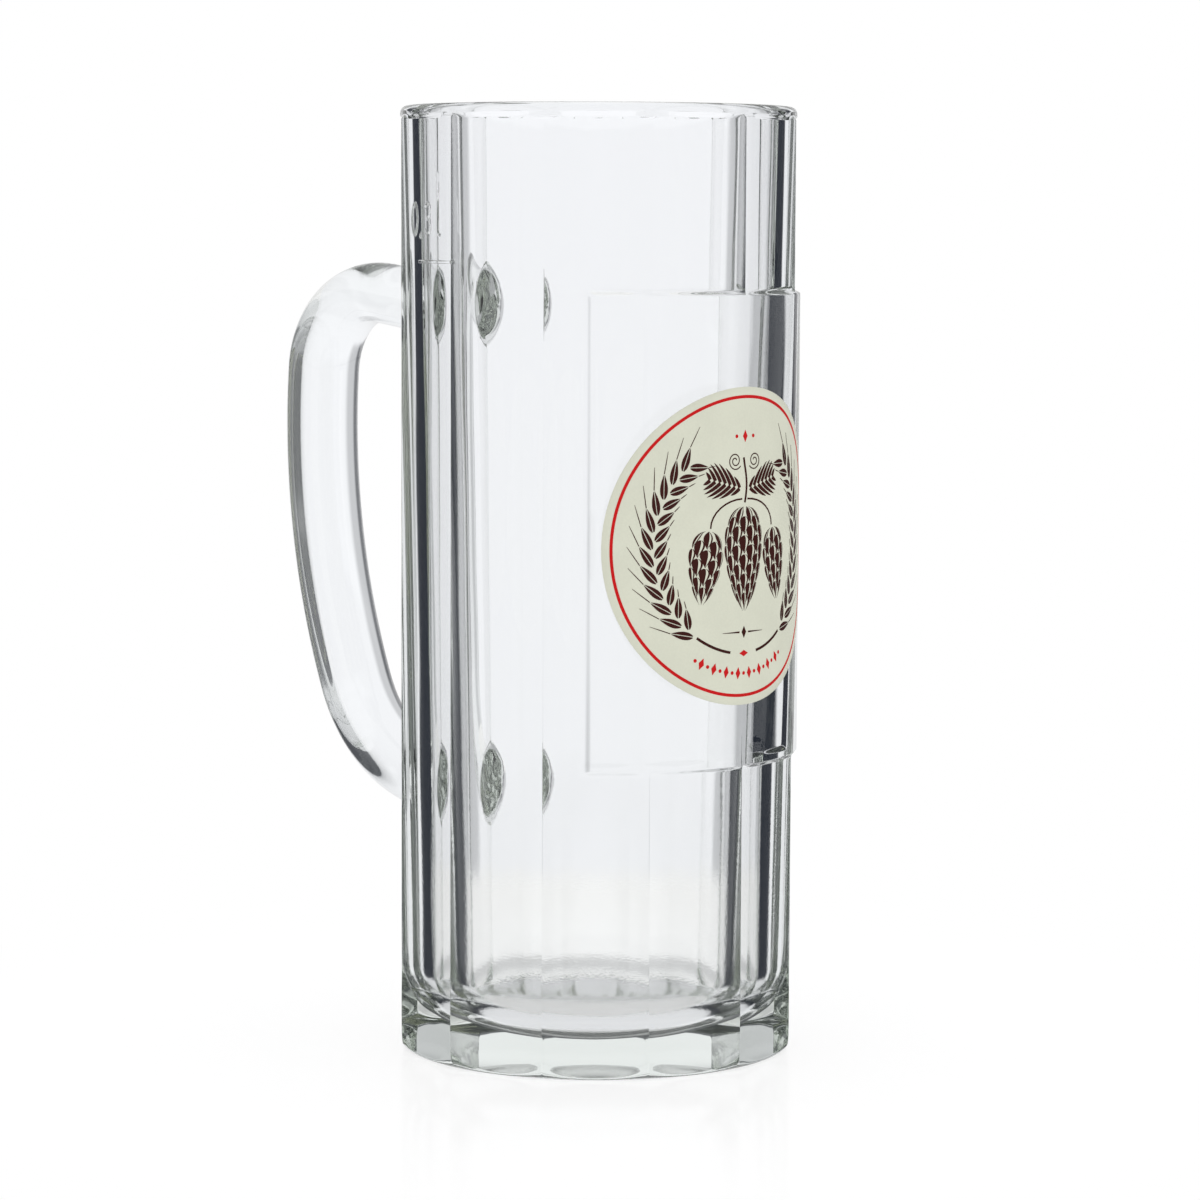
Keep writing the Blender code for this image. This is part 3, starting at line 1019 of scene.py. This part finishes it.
# Floor and light: white all round, with dark boards to both sides that show only in the glass
studio = {
    "floorRings": (0.05, 0.10, 0.15),
    "floorColumns": 96,
    "floorDrop": 0.00005,
    "floorFade": (0.065, 0.14),
    "floorGlow": 0.825,
    "floorColour": 0.25,
    "mottle": 0.97,
    "mottleScale": 30.0,
    "underShade": 0.10,               # the floor right under the glass, as seen through it
    "underFade": (0.037, 0.032),
    "rimShade": 0.45,                 # the shadow round the foot, as seen through the glass
    "rimStart": (0.033, 0.038),
    "rimEnd": (0.048, 0.041),
    "mirrorShare": 0.10,
    "mirrorRoughness": 0.10,
    "white": (1.0, 1.0, 1.0, 1.0),
    "whiteThrough": (0.98, 0.99, 1.02, 1.0),
    "dark": (0.012, 0.016, 0.026, 1.0),
}
boards = {                            # degrees, each pair from where a shade starts to where it is full
    "ahead": 135.0,                   # the boards stand to both sides of this direction
    "start": (28.0, 34.0),
    "later": 11.0,                    # further off for light that has turned twice
    "end": (100.0, 88.0),
    "foot": (-34.0, -22.0),
    "top": (14.0, 9.0),
    "thinner": (9.0, 4.0, 0.3, 1.0),
    "highest": (40.0, 20.0),
    "doubled": (-11.0, -15.0),        # lower down they stand behind as well
    "levelFoot": (-7.0, -3.0),        # the far edge of the table, in the thick base
    "levelTop": (5.0, 2.0),
    "levelShade": 0.35,
    "above": (13.5, 17.0),
    "aboveLower": 4.0,
    "aboveShade": 0.88,
    "steepShade": 0.20,
    "manyShade": (0.12, 0.70, 0.92),  # light that has turned three times, or more often from below or above
    "manyLow": (-7.0, -13.0),
    "manyHigh": (9.0, 11.5),
    "handleShade": (0.37, 0.83),      # straight through the handle, beside its edge and at it
    "handleSides": ((25.0, 33.0), (-42.0, -60.0)),
    "handleEdges": ((43.0, 50.0), (-70.0, -85.0)),
    "farShade": (0.15, 0.60),         # turned in one wall and seen through the other
    "farSide": (10.0, 55.0),
    "farTop": (8.0, 0.0),
    "farAbove": 0.2,
    "acrossShade": (0.36, 0.12),      # straight through both walls
    "acrossStart": (19.0, 28.0),
    "acrossEnd": (38.0, 58.0),
    "behindShade": 0.88,              # turned back by the handle's edge
    "behindStart": (80.0, 100.0),
    "behindFoot": (-30.0, -18.0),
    "behindTop": (32.0, 27.0),
    "outsideShade": (0.25, 0.90),     # what the outer face mirrors
}


def makeWorld():
    world = bpy.data.worlds.new("studio")
    scene.world = world
    world.use_nodes = True
    world.node_tree.nodes.clear()
    wire = Wire(world.node_tree)
    toward = wire.node("SeparateXYZ", None, {0: wire.node("TexCoord", out="Generated")})
    height = wire.node("Math", {"operation": "ARCSINE"}, {0: toward.other("Z")}) * math.degrees(1.0)
    turn = wire.node("Math", {"operation": "ARCTAN2"}, {0: toward.other("Y"), 1: toward.other("X")})
    turn = turn * math.degrees(1.0) - boards["ahead"]
    left = wire.node("Math", {"operation": "WRAP"}, {0: turn, 1: 180.0, 2: -180.0})
    once = wire.node("Math", {"operation": "PINGPONG"}, {0: turn, 1: 180.0})
    twice = wire.node("Math", {"operation": "PINGPONG"}, {0: turn, 1: 90.0})
    off = once + height.ramp(*boards["doubled"]) * (twice - once)
    path = wire.node("LightPath")
    through = path.other("Transmission Depth") > 0.5
    thick = path.other("Transmission Depth") > 2.5
    turned, two, many, more = (path.other("Glossy Depth") > count + 0.5 for count in range(4))
    tall = height.ramp(*boards["foot"]) * height.ramp(*boards["top"])
    side = (off - boards["later"] * two).ramp(*boards["start"]) * off.ramp(*boards["end"])

    # One wall: light turned inside it, or straight through the handle
    board = side * height.ramp(*boards["foot"]) * height.ramp(*boards["thinner"])
    board = board * height.ramp(*boards["highest"])
    level = two * height.ramp(*boards["levelFoot"]) * height.ramp(*boards["levelTop"]) * boards["levelShade"]
    above = (height + boards["aboveLower"] * two).ramp(*boards["above"]) * boards["aboveShade"]
    steep = height.ramp(*reversed(boards["foot"])) * boards["steepShade"]
    walls = board + (1.0 - board) * (level + above) + steep
    few, low, high = boards["manyShade"]
    lots = height.ramp(*boards["manyHigh"], 0.0, high - few) + height.ramp(*boards["manyLow"], 0.0, low - few)
    walls = walls + many * (few - walls) + more * lots
    low, high = boards["handleShade"]
    straight = sum(left.ramp(*pair, 0.0, low) for pair in boards["handleSides"])
    straight = straight + sum(left.ramp(*pair, 0.0, high - low) for pair in boards["handleEdges"])
    straight = straight * off.ramp(*boards["end"]) * tall
    near = turned * walls + (1.0 - turned) * straight

    # Both walls, or the barrel and the handle
    beyond = off.ramp(*boards["farSide"], *boards["farShade"]) * height.ramp(*boards["farTop"])
    beyond = beyond + boards["farAbove"] * height.ramp(*reversed(boards["farTop"]))
    across = off.ramp(*boards["acrossStart"]) * off.ramp(*boards["acrossEnd"], *boards["acrossShade"])
    far = turned * beyond + (1.0 - turned) * across
    behind = turned * once.ramp(*boards["behindStart"])
    behind = behind * height.ramp(*boards["behindFoot"]) * height.ramp(*boards["behindTop"])
    far = far + behind * (boards["behindShade"] - far)

    low, high = boards["outsideShade"]
    outside = low + (high - low) * side * tall
    shade = through * (near + thick * (far - near)) + (1.0 - through) * outside
    shade = shade * (1.0 - path.other("Is Camera Ray")) * (1.0 - (path.other("Diffuse Depth") > 0.5))
    colour = shade.blend(through.blend(studio["white"], studio["whiteThrough"]), studio["dark"])
    shown = wire.node("Background", None, {"Color": colour, "Strength": 1.0})
    out = wire.tree.nodes.new("ShaderNodeOutputWorld")
    wire.plug(out.inputs["Surface"], shown)


def floorMaterial():
    material, wire = newMaterial("pale_floor")
    place = wire.node("TexCoord", out="Object")
    distance = wire.node("VectorMath", {"operation": "LENGTH"}, {0: place}, out="Value")
    path = wire.node("LightPath")
    through = path.other("Transmission Depth") > 0.5
    turned = path.other("Glossy Depth") > 0.5
    thick = path.other("Transmission Depth") > 2.5
    under = thick * distance.ramp(*studio["underFade"]) * studio["underShade"]
    rim = distance.ramp(*studio["rimStart"]) * distance.ramp(*studio["rimEnd"]) * studio["rimShade"]
    glow = wire.node("Emission", None, {
        "Color": (through * (under + rim)).blend(studio["white"], studio["dark"]),
        "Strength": studio["floorGlow"]})
    cloud = wire.node("TexNoise", None, {"Vector": place, "Scale": studio["mottleScale"]})
    pale = studio["floorColour"]
    deeper = studio["mottle"] * pale
    tone = cloud.blend((pale, pale, pale, 1.0), (deeper, deeper, deeper, 1.0))
    matt = wire.node("BsdfDiffuse", None, {"Color": tone})
    near = wire.node("AddShader", None, {0: glow, 1: matt})
    mirror = wire.node("BsdfGlossy", None, {"Color": studio["white"], "Roughness": studio["mirrorRoughness"]})
    near = wire.node("MixShader", None, {0: studio["mirrorShare"], 1: near, 2: mirror})
    white = wire.node("Emission", None, {"Color": studio["white"], "Strength": 1.0})
    away = distance.ramp(*studio["floorFade"])
    shown = wire.node("MixShader", None, {0: away, 1: near, 2: white})
    clear = wire.node("BsdfTransparent", None, {"Color": studio["white"]})
    endMaterial(wire, wire.node("MixShader", None, {0: turned, 1: shown, 2: clear}))
    return material


def makeFloor():
    count = studio["floorColumns"]
    turns = np.linspace(0.0, 2 * math.pi, count, endpoint=False)
    circle = np.stack([np.cos(turns), np.sin(turns), 0.0 * turns], axis=1)
    points = [radius * place for radius in studio["floorRings"] for place in circle]
    middle = len(points)
    faces = gridFaces(len(studio["floorRings"]), count)
    faces += [(middle, j, (j + 1) % count) for j in range(count)]
    floor = makeObject("floor", [*points, (0.0, 0.0, 0.0)], faces)
    facingOut(floor)
    floor.location.z = -studio["floorDrop"]
    floor.data.materials.append(floorMaterial())


makeWorld()
makeFloor()
scene.view_settings.view_transform = "Standard"
scene.cycles.max_bounces = 24
scene.cycles.transmission_bounces = 24
scene.cycles.glossy_bounces = 16
print("floor and light set")
